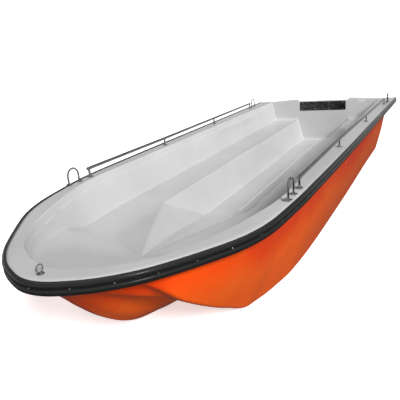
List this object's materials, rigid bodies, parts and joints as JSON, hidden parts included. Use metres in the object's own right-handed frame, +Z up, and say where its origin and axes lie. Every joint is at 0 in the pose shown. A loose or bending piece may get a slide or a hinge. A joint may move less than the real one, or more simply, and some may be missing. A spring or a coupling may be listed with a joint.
{
  "type": "open moulded rescue boat",
  "caption": "Open three-lobed rescue boat with a foam-backed liner, side benches around a footwell, a rubber rub rail, low handrails, lifting bolts and a transom motor mount.",
  "frame": {"origin": "middle of the boat's length and breadth at the level of its keel and side lobes, where it stands on a floor", "axes": "+X to port, +Y aft, -Y towards the bow, +Z up"},
  "size_m": [1.866, 5.3052, 0.788],
  "materials": {
    "orange_gelcoat": "glossy orange gelcoat on glass-fibre laminate",
    "white_gelcoat": "glossy white gelcoat on glass-fibre laminate",
    "black_rubber": "satin black extruded fender rubber",
    "stainless": "polished stainless steel"
  },
  "bodies": {
    "root": {"hull": "orange_gelcoat", "liner": "white_gelcoat", "rub_rail": "black_rubber", "handrail_port": "stainless", "handrail_starboard": "stainless", "handrail_post_port_1": "stainless", "handrail_post_port_2": "stainless", "handrail_post_port_3": "stainless", "handrail_post_port_4": "stainless", "handrail_post_starboard_1": "stainless", "handrail_post_starboard_2": "stainless", "handrail_post_starboard_3": "stainless", "handrail_post_starboard_4": "stainless", "lifting_bolt_bow_port": "stainless", "lifting_bolt_bow_starboard": "stainless", "lifting_bolt_stern_port": "stainless", "lifting_bolt_stern_starboard": "stainless", "lifting_foot_bow_port_fore": "stainless", "lifting_foot_bow_port_aft": "stainless", "lifting_foot_bow_starboard_fore": "stainless", "lifting_foot_bow_starboard_aft": "stainless", "lifting_foot_stern_port_fore": "stainless", "lifting_foot_stern_port_aft": "stainless", "lifting_foot_stern_starboard_fore": "stainless", "lifting_foot_stern_starboard_aft": "stainless", "bow_eye_plate": "stainless", "bow_eye_ring": "stainless", "motor_plate_inner": "stainless", "motor_plate_outer": "stainless"}
  },
  "joints": []
}
